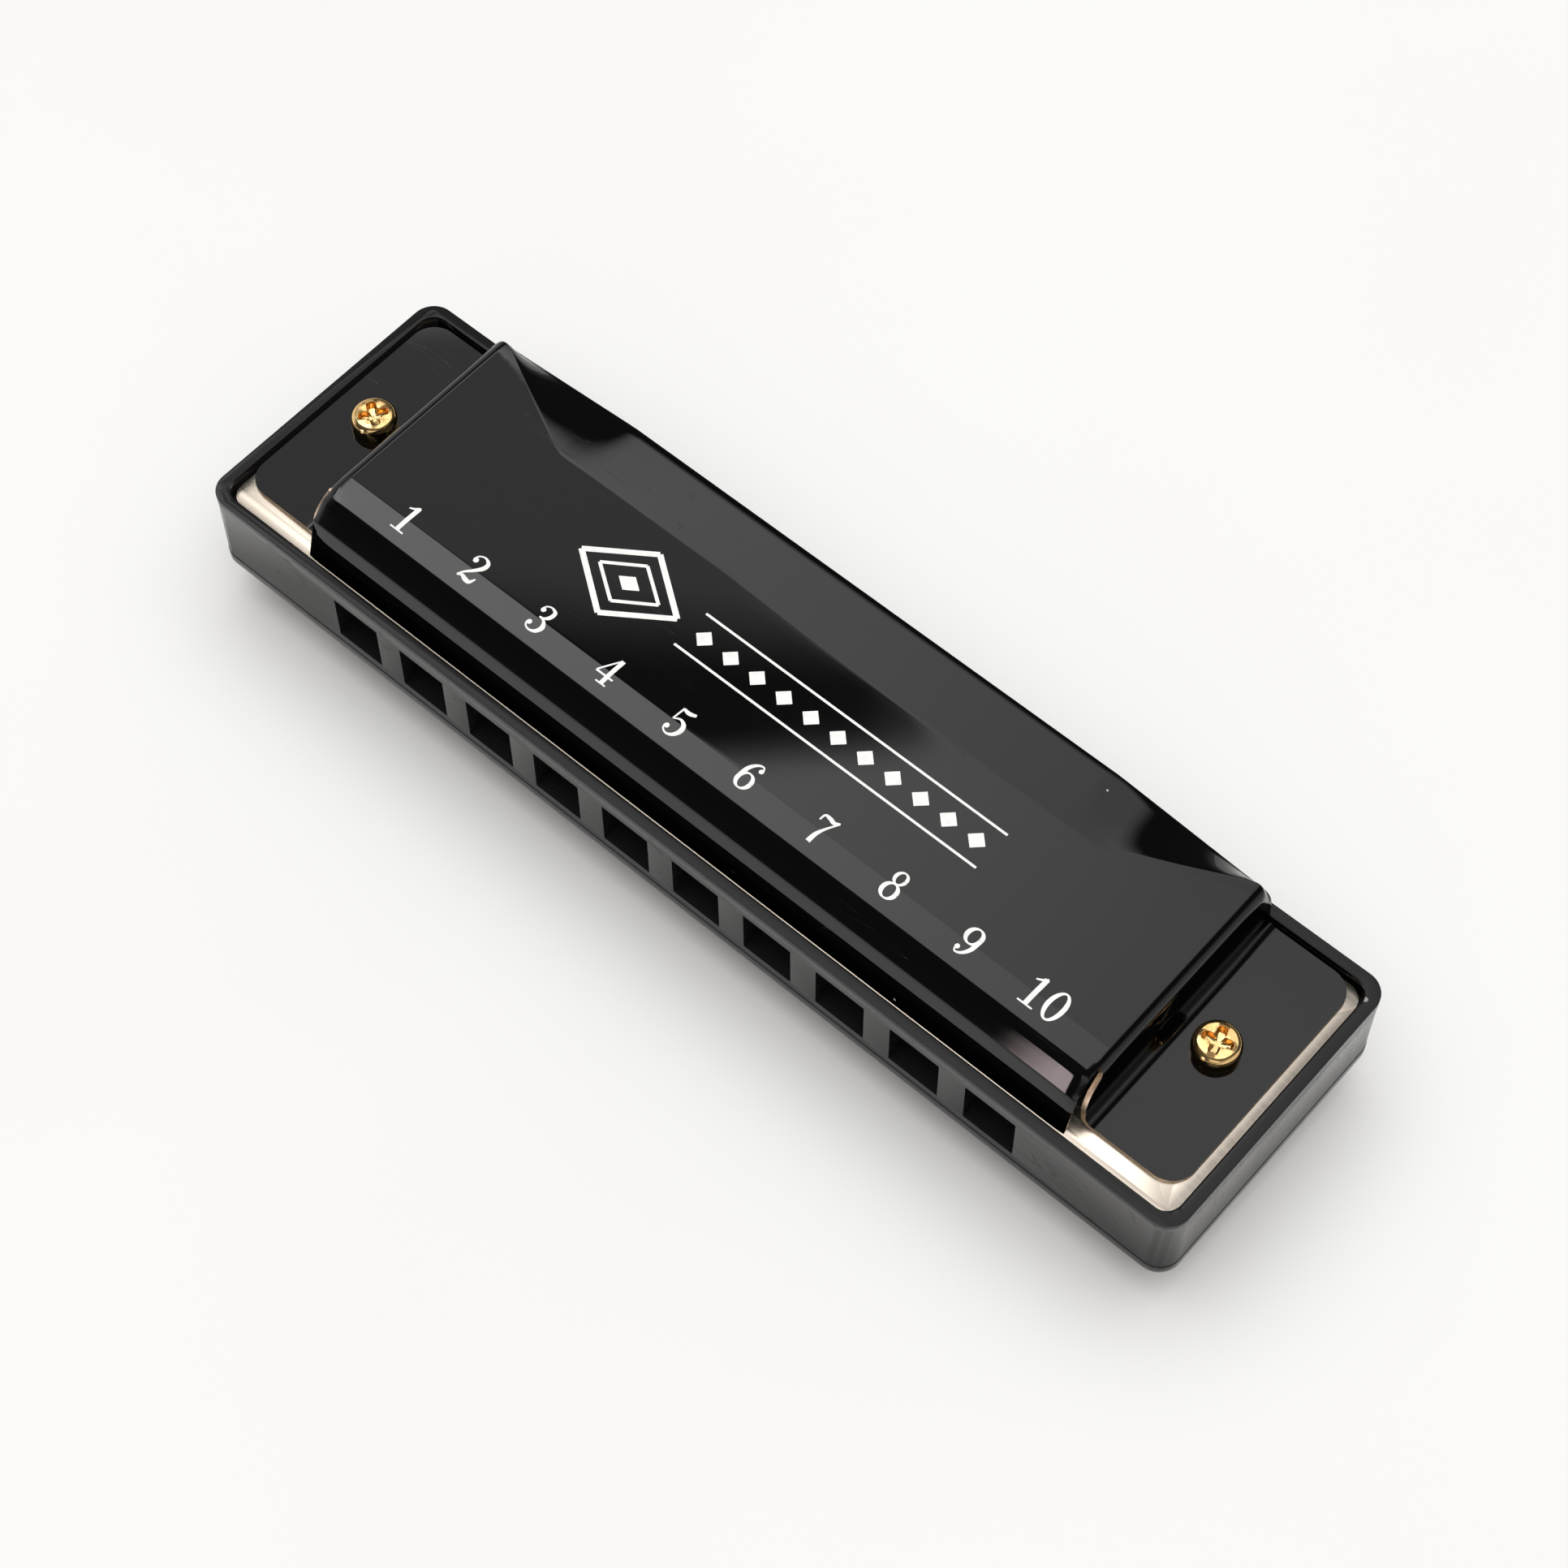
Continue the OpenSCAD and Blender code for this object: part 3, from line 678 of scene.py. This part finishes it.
NUMERALS = {
    "1": [[(0.33, 0.0, 0.15), (0.33, 0.97, 0.15)],
          [(0.08, 0.8, 0.05), (0.22, 0.87, 0.07), (0.37, 0.98, 0.09)],
          [(0.08, 0.025, 0.05), (0.58, 0.025, 0.05)]],
    "2": [dot(0.17, 0.74, 0.17),
          [(0.1, 0.74, 0.06), (0.16, 0.9, 0.05), (0.34, 0.97, 0.06), (0.53, 0.87, 0.12), (0.55, 0.68, 0.15),
           (0.4, 0.45, 0.11), (0.2, 0.24, 0.07), (0.09, 0.06, 0.05)],
          [(0.09, 0.05, 0.06), (0.22, 0.12, 0.1), (0.4, 0.07, 0.14), (0.55, 0.07, 0.12),
           (0.64, 0.25, 0.04)]],
    "3": [dot(0.17, 0.77, 0.16), dot(0.15, 0.22, 0.16),
          [(0.11, 0.78, 0.05), (0.18, 0.92, 0.05), (0.34, 0.97, 0.06), (0.51, 0.88, 0.12), (0.5, 0.67, 0.13),
           (0.38, 0.55, 0.07), (0.25, 0.53, 0.05)],
          [(0.25, 0.53, 0.05), (0.44, 0.49, 0.08), (0.57, 0.3, 0.15), (0.5, 0.1, 0.12), (0.32, 0.02, 0.06),
           (0.15, 0.07, 0.05), (0.08, 0.2, 0.05)]],
    "4": [[(0.45, 0.0, 0.14), (0.45, 0.97, 0.14)], [(0.42, 0.97, 0.05), (0.05, 0.3, 0.06)],
          [(0.04, 0.29, 0.06), (0.66, 0.29, 0.06)], [(0.26, 0.025, 0.05), (0.62, 0.025, 0.05)]],
    "5": [[(0.15, 0.93, 0.08), (0.36, 0.9, 0.13), (0.57, 0.97, 0.09)],
          [(0.15, 0.95, 0.06), (0.12, 0.5, 0.05)],
          [(0.12, 0.5, 0.04), (0.32, 0.6, 0.07), (0.52, 0.5, 0.13), (0.57, 0.3, 0.15), (0.47, 0.1, 0.11),
           (0.29, 0.02, 0.06), (0.13, 0.09, 0.05), (0.08, 0.22, 0.05)], dot(0.15, 0.22, 0.16)],
    "6": [loop(0.33, 0.29, 0.22, 0.26, 0.14, 0.05), dot(0.5, 0.8, 0.15),
          [(0.55, 0.82, 0.05), (0.46, 0.95, 0.05), (0.28, 0.88, 0.09), (0.14, 0.65, 0.13),
           (0.11, 0.3, 0.14)]],
    "7": [[(0.07, 0.72, 0.05), (0.1, 0.92, 0.07), (0.28, 0.92, 0.12), (0.45, 0.88, 0.12), (0.6, 0.97, 0.05)],
          [(0.6, 0.96, 0.05), (0.42, 0.62, 0.07), (0.3, 0.3, 0.13), (0.28, 0.0, 0.16)]],
    "8": [loop(0.33, 0.75, 0.17, 0.21, 0.11, 0.05), loop(0.33, 0.27, 0.22, 0.25, 0.14, 0.05)],
    "9": [loop(0.33, 0.69, 0.22, 0.26, 0.14, 0.05), dot(0.17, 0.18, 0.15),
          [(0.12, 0.17, 0.05), (0.2, 0.03, 0.05), (0.38, 0.1, 0.09), (0.52, 0.33, 0.13),
           (0.55, 0.68, 0.14)]],
    "0": [loop(0.33, 0.49, 0.23, 0.47, 0.14, 0.06, 24)],
}
NUMERAL_HIGH = 2.8
NUMERAL_Y = -6.7
NUMERAL_PITCH = 7.385
first_x = COVER_X + 0.2 - NUMERAL_PITCH * (HOLES - 1) / 2


def number_strokes(number):
    """The strokes of one hole number, centred over its hole's place."""
    centre = first_x + (number - 1) * NUMERAL_PITCH
    signs = str(number)
    made = []
    for place_in, sign in enumerate(signs):
        offset = (place_in - (len(signs) - 1) / 2) * 0.68 - 0.33
        corner = np.array([centre + offset * NUMERAL_HIGH, NUMERAL_Y - NUMERAL_HIGH / 2])
        made += [stroke(s, NUMERAL_HIGH, corner, len(made) + k, 0.04) for k, s in enumerate(NUMERALS[sign])]
    return made


for number in range(1, HOLES + 1):
    numeral = new_object(f"hole_number_{number}", ink_mesh(f"hole_number_{number}", number_strokes(number)))
    dress(numeral, "harmonica", "cover_lacquer", None, "print_ink")
print("numerals are", NUMERAL_HIGH, "mm high")

# %% Ornament
def lozenge(x, y, long, high, width):
    """A four-sided ring of straight strokes with corners at its left, top, right and foot."""
    spots = [(x - long / 2, y), (x, y + high / 2), (x + long / 2, y), (x, y - high / 2)]
    return [[(*a, width), (*b, width)] for a, b in zip(spots, spots[1:] + spots[:1])]


LINE_Y = 0.4
CENTRE_X = -15.6
RULES = [[(-9.0, LINE_Y + s, 0.22), (22.0, LINE_Y + s, 0.22)] for s in (-1.9, 1.9)]
BEADS = [[(x - 0.85, LINE_Y, 0.05), (x, LINE_Y, 1.7), (x + 0.85, LINE_Y, 0.05)]
         for x in np.linspace(-7.5, 20.5, 11)]
LOZENGES = lozenge(CENTRE_X, LINE_Y, 10.4, 7.4, 0.5) + lozenge(CENTRE_X, LINE_Y, 6.4, 4.4, 0.3)
CORE = [[(CENTRE_X - 1.1, LINE_Y, 0.05), (CENTRE_X, LINE_Y, 1.6), (CENTRE_X + 1.1, LINE_Y, 0.05)]]
shift = np.array([COVER_X + 0.4, 0.0])
strokes = [stroke(s, 1.0, shift, k * 0.5, steps=1) for k, s in enumerate(RULES + LOZENGES)]
strokes += [stroke(s, 1.0, shift, 0, steps=1) for s in BEADS + CORE]
ornament = new_object("cover_ornament", ink_mesh("cover_ornament", strokes))
dress(ornament, "harmonica", "cover_lacquer", None, "print_ink")
print("ornament of", len(strokes), "strokes")

# %% [markdown]
# ## Bolts and nuts
# Each bolt has a pan head with a cross recess, gold plated. A head could be cut with booleans, but a polar
# grid is cleaner: its rings first follow the outline of the cross, so the recess gets crisp walls, and then
# grow into the head's round edge. The shank carries a real thread: the radius follows a triangle wave along
# z that moves on by one pitch each turn. A nut is the same idea with a hexagon for its outline.

# %% Polar helpers
HEAD_R = 2.0
bolts_low, bolts_high = box_mm("cover_bolts")
BOLT_Y = (bolts_low[1] + bolts_high[1]) / 2
BOLTS = [np.array([x, BOLT_Y, 0]) for x in (bolts_low[0] + HEAD_R, bolts_high[0] - HEAD_R)]
TURN = np.linspace(0, 2 * math.pi, 96, endpoint=False)


def revolve(name, radii, heights, centres, turn=TURN, close_rows=False):
    """Rings of radius r(k, angle) at height z(k, angle) about each centre, where one number a ring will do
    for a round and level ring. One mesh, with its poles merged."""
    radii, heights = (np.asarray(v, float) for v in (radii, heights))
    if radii.ndim == 1:
        radii, heights = (np.repeat(v[:, None], len(turn), axis=1) for v in (radii, heights))
    shape = np.stack([radii * np.cos(turn), radii * np.sin(turn), heights], axis=-1)
    points = np.concatenate([(shape + centre).reshape(-1, 3) for centre in centres])
    faces = []
    for k in range(len(centres)):
        faces += grid_faces(len(radii), len(turn), close_rows, close_columns=True, start=k * radii.size)
    return merge_close(to_mesh(name, points, faces))


# %% Bolts
HEAD_H = 1.5
SHOULDER = 0.55
CROSS_TURNS = (56, 15)
FLANGE_TOP = PLATE_Z + SHEET
PITCH = 0.4
THREAD_L = 3.2


def cross_outline(turned, long=1.28, wide=0.4):
    """Distance from the middle to the edge of a cross of two bars, averaged over nearby angles."""
    a = TURN - math.radians(turned)
    bars = [np.minimum(long / np.maximum(abs(np.cos(t)), 1e-6), wide / np.maximum(abs(np.sin(t)), 1e-6))
            for t in (a, a + math.pi / 2)]
    edge = np.maximum(*bars)
    return sum(np.roll(edge, k) * (4 - abs(k)) for k in range(-3, 4)) / 16


def head_rings(edge):
    """(radius, height) rings: the recess's floor and walls, the crown, a quarter ellipse for the shoulder,
    the side and the underside."""
    inner = HEAD_R - SHOULDER
    rings = [(edge * 0.0, 0.72), (edge * 0.5, 0.74), (edge * 0.82, 0.82), (edge * 0.97, HEAD_H - 0.1),
             (edge, HEAD_H - 0.02), (edge + 0.05, HEAD_H)]
    rings += [(edge + 0.05 + (inner - edge - 0.05) * q, HEAD_H - 0.04 * q) for q in (0.4, 1.0)]
    rings += [(inner + SHOULDER * math.sin(b), HEAD_H - 0.04 - (SHOULDER + 0.2) * (1 - math.cos(b)))
              for b in np.linspace(0, math.pi / 2, 9)[1:]]
    return rings + [(HEAD_R, 0.05), (HEAD_R - 0.05, 0), (1.0, 0)]


def bolt_mesh(axis, turned):
    """The head's rings, then the thread's, whose radius is 0.99 mm less 0.16 times a triangle wave of
    z / PITCH minus the turn, and the tail."""
    level = np.ones(len(TURN))
    rings = head_rings(cross_outline(turned))
    low = bolts_low[2] - MIDDLE
    thread_z = np.arange(low + THREAD_L, low + 0.12, -0.06)
    wave = (thread_z[:, None] / PITCH - TURN / (2 * math.pi)) % 1.0
    thread_r = 0.99 - 0.16 * np.abs(2 * wave - 1)
    radii = np.concatenate([[r * level for r, _ in rings], [0.97 * level], thread_r,
                            np.outer([0.97 * 0.85, 0.97 * 0.6, 0], level)])
    heights = np.concatenate([[(z + FLANGE_TOP) * level for _, z in rings], [(low + THREAD_L + 0.1) * level],
                              thread_z[:, None] * level, np.outer([low + 0.04, low, low], level)])
    return revolve("cross_head_bolt", radii, heights, [axis])


for number, (axis, turned) in enumerate(zip(BOLTS, CROSS_TURNS), 1):
    bolt = soften(new_object(f"cross_head_bolt_{number}", bolt_mesh(axis, turned)), 0.025, 2, 40)
    dress(bolt, "harmonica", "gold_plate", "cover_bolts")
print("bolt axes at", [np.round(b, 2).tolist() for b in BOLTS])

# %% Nuts
def nut_mesh(across=4.0, high=1.5, bore=1.03, face_r=1.86):
    """Rings from the bore over its chamfer, the lower face, the hexagon's side and the upper face. The
    hexagon's edge is across/2 over the cosine of the angle from the middle of its side, and its corners are
    turned down by 30 degrees."""
    side = np.mod(TURN, math.pi / 3) - math.pi / 6
    edge = across / 2 / np.cos(side)
    low = -FLANGE_TOP - high
    fall = np.maximum(edge - 1.93, 0) * math.tan(math.radians(30)) + 0.02
    chamfer = 0.14
    rings = [(bore, low + high - chamfer), (bore, low + chamfer), (bore + chamfer, low), (face_r, low),
             (edge, low + fall), (edge, low + high - fall), (face_r, low + high),
             (bore + chamfer, low + high)]
    level = np.ones(len(TURN))
    return revolve("hex_nuts", [r * level for r, _ in rings], [z * level for _, z in rings], BOLTS,
                   close_rows=True)


nuts = soften(new_object("hex_nuts", nut_mesh()), 0.04, 2, 25)
dress(nuts, "harmonica", "gold_plate", "cover_nuts")

# %% [markdown]
# ## Reeds
# A reed is a strip of brass, riveted at its root and free at its tip. It is thinned behind the root, left
# heavier at the tip, and set a little off its plate so that breath can start it. Each is one tube: a flat
# rounded section carried from root to tip, and each rides on its own body, so it swings in its slot. The
# pads at the roots are bevelled copies of the frame's blocks, and rivets and pins are turned profiles.

# %% Reed shape
REED_T = 0.28
REED_SET = 0.2
WEIGHT = 3.0
PAD_L = 2.8
PAD_T = 0.35
ROOT_GAP = 0.04
SIDES = 16


def reed_points(length, wide):
    """Rings along the reed. The upper face falls evenly from root to tip by REED_SET. The lower face follows
    the ground thickness: full at the root, four fifths behind it, full again under the tip's weight. The
    section is a superellipse: cosine to the power 0.25 across, sine to the power 0.35 upwards."""
    y = np.concatenate([[-0.14, -0.12, -0.07], np.linspace(0, length - WEIGHT, 14),
                        [length - WEIGHT + 0.15, length - WEIGHT + 0.3],
                        np.linspace(length - WEIGHT + 0.5, length - 0.12, 6), [length - 0.04, length]])
    half = REED_T / 2
    upper = half - REED_SET * np.clip(y / length, 0, 1)
    knots = [0, length * 0.3, length - WEIGHT, length - WEIGHT + 0.3, length]
    ground = [-half, -0.8 * half - REED_SET * 0.2, -0.8 * half - REED_SET * 0.7, -half - REED_SET * 0.7,
              -half - REED_SET]
    lower = np.interp(y, knots, ground)
    swell = np.interp(y, [-0.14, -0.12, -0.07, 0], [0.12, 0.5, 0.86, 1.0])
    middle = (upper + lower) / 2 * (y > 0)
    tall = (upper - lower) / 2 * swell
    narrow = wide / 2 - 0.12 * ease(length - 0.14, length, y) ** 2
    turn = np.linspace(0, 2 * math.pi, SIDES, endpoint=False)
    x = np.sign(np.cos(turn)) * np.abs(np.cos(turn)) ** 0.25
    z = np.sign(np.sin(turn)) * np.abs(np.sin(turn)) ** 0.35
    return np.stack([narrow[:, None] * x, np.repeat(y[:, None], SIDES, axis=1),
                     middle[:, None] + tall[:, None] * z], axis=-1)


def reed_piece(side, number):
    """side is 'blow' or 'draw'. A blow reed points to the mouth, a draw reed to the back."""
    node = f"{side}_reed_{number}"
    low, high = box_mm(node)
    facing = -1 if side == "blow" else 1
    root = high[1] - REED_T / 2 if side == "blow" else low[1] + REED_T / 2
    length = (high[1] - low[1]) - REED_T / 2
    spot = np.array([(low[0] + high[0]) / 2, root, high[2] - REED_T / 2 - MIDDLE])
    points = reed_points(length, high[0] - low[0]) * (1, facing, 1) + spot
    rows = len(points)
    faces = grid_faces(rows, SIDES, close_columns=True)
    faces += [list(range(SIDES)), list(range(rows * SIDES - SIDES, rows * SIDES))]
    piece = new_object(f"{side}_tongue_{number}", merge_close(to_mesh(node, points, faces)))
    soften(piece, 0.02, 1, 45)
    dress(piece, f"{side}_{number}", "reed_brass", node)
    return spot + (0, -facing * (REED_T / 2 + ROOT_GAP + PAD_L / 2), REED_T / 2)


rivet_spots = {side: [reed_piece(side, n) for n in range(1, HOLES + 1)] for side in ("blow", "draw")}
print("twenty reeds, first rivet at", np.round(rivet_spots["blow"][0], 2).tolist())

# %% Pads, rivets and pins
PLATE_T = 0.9
RIVET_R = 0.85
PIN_R = 0.9
SHANK_R = 0.5
softened_copy("blow_reed_pads", "blow_root_pads", "reed_brass", 0.07)
softened_copy("draw_reed_pads", "draw_root_pads", "reed_brass", 0.07)


def dome(radius, base, top, steps=6):
    """Radii and heights of a low dome from its rim to its crown."""
    turn = np.linspace(0, math.pi / 2, steps)
    return radius * np.cos(turn), base + (top - base) * np.sin(turn)


def rivet_profile(tail):
    """Dome under the pad, shank through pad and plate, and a second dome where the tail is spread."""
    head_r, head_z = dome(RIVET_R, -PAD_T, -PAD_T - 0.25)
    radii = np.concatenate([head_r[::-1], [SHANK_R, SHANK_R]])
    heights = np.concatenate([head_z[::-1], [-PAD_T, PLATE_T]])
    if tail:
        tail_r, tail_z = dome(RIVET_R, PLATE_T + 0.01, PLATE_T + 0.25)
        return np.concatenate([radii, tail_r]), np.concatenate([heights, tail_z])
    return np.append(radii, 0.0), np.append(heights, PLATE_T)


def pin_profile():
    """A domed head on the plate over a plain shank."""
    head_r, head_z = dome(PIN_R, PLATE_Z, PLATE_Z + 0.3)
    radii = np.concatenate([[0, 0.42, SHANK_R, SHANK_R], head_r])
    return radii, np.concatenate([[0.7, 0.7, 0.78, PLATE_Z], head_z])


ROUND = np.linspace(0, 2 * math.pi, 32, endpoint=False)
for side, tail in (("blow", True), ("draw", False)):
    rivet_mesh = revolve(f"{side}_rivets", *rivet_profile(tail), rivet_spots[side], ROUND)
    rivets = new_object(f"{side}_rivets", rivet_mesh)
    dress(soften(rivets, 0.02, 1, 50), "harmonica", "pin_brass", f"{side}_reed_rivets")

PIN_SPOTS = [np.array([x, -10.6, 0]) for x in (-30, 0, 30)]
PIN_SPOTS += [np.array([x, 11.2, 0]) for x in (-37.5, -7.5, 37.5)]
pin_r, pin_z = pin_profile()
for name, node, side in (("upper_pins", "upper_plate_pins", 1), ("lower_pins", "lower_plate_pins", -1)):
    pins = new_object(name, revolve(name, pin_r, pin_z * side, PIN_SPOTS, ROUND))
    dress(soften(pins, 0.02, 1, 50), "harmonica", "pin_brass", node)

# %% [markdown]
# ## Floor, light and camera
# The instrument lies on a plain white sheet. Gloss black shows nothing but what it reflects, so the sky
# around it is the real work: a bright tent behind and above, a dark shade hung in it that gives the top its
# deep left half, and a dark front with one bright window. All of it is painted by direction in the world.
# Gloss sees this painted sky. Dull surfaces get a plain soft light from overhead, so shadows stay short.

# %% Floor
tree, shader = finish("pale_floor", IOR=1.4)
paper = place(tree, mottle, Scale=9.0, Low=0.0, High=1.0)["Value"]
specks = place(tree, dust, Scale=140.0, Size=0.06, Share=0.02)["Mask"]
tone = blend_colour(tree, paper, (0.885, 0.875, 0.865, 1), (0.865, 0.85, 0.84, 1))
wire(tree, shader.inputs["Base Color"], blend_colour(tree, specks, tone, (0.25, 0.2, 0.17, 1)))
wire(tree, shader.inputs["Roughness"], calc(tree, "MULTIPLY_ADD", paper, 0.1, 0.55))
FAR = 4.0
floor_mesh = bpy.data.meshes.new("floor")
floor_mesh.from_pydata([(-FAR, -FAR, 0), (FAR, -FAR, 0), (FAR, FAR, 0), (-FAR, FAR, 0)], [], [(0, 1, 2, 3)])
floor = new_object("floor", floor_mesh)
floor_mesh.materials.append(finishes["pale_floor"])

# %% Sky painted by direction
world = bpy.data.worlds.new("studio")
bpy.context.scene.world = world
world.use_nodes = True
sky = world.node_tree
toward = add(sky, "ShaderNodeTexCoord").outputs["Generated"]


def along(direction):
    """How far the ray points along a direction, from -1 to 1."""
    unit = Vector(direction).normalized()
    return add(sky, "ShaderNodeVectorMath", {0: toward, 1: unit}, operation="DOT_PRODUCT").outputs["Value"]


def panel(azimuth, elevation, half_wide, half_high, soft, lean=0.0):
    """1 inside a rectangle on the sky, 0 outside. Azimuth is from +Y towards +X, sizes are tangents."""
    a = math.radians(azimuth)
    e = math.radians(elevation)
    middle = Vector((math.sin(a) * math.cos(e), math.cos(a) * math.cos(e), math.sin(e)))
    level = Vector((math.cos(a), -math.sin(a), 0))
    upright = level.cross(middle)
    tilt = math.radians(lean)
    wide_axis = level * math.cos(tilt) + upright * math.sin(tilt)
    high_axis = upright * math.cos(tilt) - level * math.sin(tilt)
    ahead = calc(sky, "MAXIMUM", along(middle), 0.02)
    u = calc(sky, "ABSOLUTE", calc(sky, "DIVIDE", along(wide_axis), ahead))
    v = calc(sky, "ABSOLUTE", calc(sky, "DIVIDE", along(high_axis), ahead))
    inside_u = fade(sky, u, half_wide + soft, half_wide - soft)
    inside_v = fade(sky, v, half_high + soft, half_high - soft)
    facing = fade(sky, along(middle), 0.03, 0.1)
    return calc(sky, "MULTIPLY", calc(sky, "MULTIPLY", inside_u, inside_v), facing)


def layer(below_it, mask, value):
    """below_it where the mask is 0, value where it is 1."""
    return calc(sky, "MULTIPLY_ADD", mask, calc(sky, "SUBTRACT", value, below_it), below_it)


up = along((0, 0, 1))
back = along((0, 1, 0))
right = along((1, 0, 0))
dim = calc(sky, "MULTIPLY_ADD", fade(sky, up, 0.25, -0.05), 0.3, 0.06)
tent = calc(sky, "MINIMUM", calc(sky, "MULTIPLY_ADD", right, -5.0, 0.3), 3.2)
tent = calc(sky, "MAXIMUM", tent, 1.45)
tent = calc(sky, "MULTIPLY", tent, calc(sky, "MULTIPLY_ADD", fade(sky, back, 0.34, 0.27), 0.3, 1.0))
tent = calc(sky, "MULTIPLY", tent, calc(sky, "MULTIPLY_ADD", fade(sky, back, 0.42, 0.5), -0.17, 1.0))
inside = calc(sky, "MULTIPLY", fade(sky, up, 0.69, 0.765), fade(sky, back, 0.0, 0.09))
inside = calc(sky, "MULTIPLY", inside, fade(sky, right, 0.3, 0.05))
inside = calc(sky, "MULTIPLY", inside, fade(sky, right, -0.78, -0.62))
beside = fade(sky, calc(sky, "ABSOLUTE", right), 0.6, 0.9)
light = layer(dim, beside, 0.8)
light = layer(light, panel(148, 32, 0.3, 0.3, 0.12), 0.9)
light = layer(light, inside, tent)
shade = panel(-55.5, 54.45, 0.185, 0.065, 0.008, 9)
light = layer(light, shade, 0.8)
core = panel(-52.5, 57.24, 0.14, 0.0295, 0.016, 15)
light = layer(light, calc(sky, "MULTIPLY", shade, core), 0.08)
window = panel(190, 13, 0.073, 0.08, 0.012)
light = layer(light, window, 6.5)
pink = calc(sky, "MULTIPLY_ADD", window, 1.4, light)
seen = add(sky, "ShaderNodeCombineColor", {0: pink, 1: light, 2: light})
ray = add(sky, "ShaderNodeLightPath").outputs
overhead = fade(sky, up, 0.6, 0.98)
soft = blend_colour(sky, overhead, (0.3, 0.265, 0.265, 1), (2.5, 2.57, 2.55, 1))
shown = blend_colour(sky, ray["Is Glossy Ray"], soft, seen.outputs[0])
shown = blend_colour(sky, ray["Is Camera Ray"], shown, (0.95, 0.945, 0.93, 1))
background = sky.nodes["Background"]
wire(sky, background.inputs["Color"], shown)
background.inputs["Strength"].default_value = 1.0
bpy.context.scene.view_settings.view_transform = "Standard"
print("sky has", len(sky.nodes), "nodes")

# %% Camera
camera = bpy.data.objects.new("camera", bpy.data.cameras.new("camera"))
bpy.context.scene.collection.objects.link(camera)
camera.location = (0.09627, -0.10755, 0.24669)
camera.rotation_euler = [math.radians(angle) for angle in (30.861, 0.155, 41.214)]
camera.data.sensor_width = 36
camera.data.lens = 78.84
camera.data.clip_start = 0.005
camera.data.clip_end = 20
bpy.context.scene.camera = camera
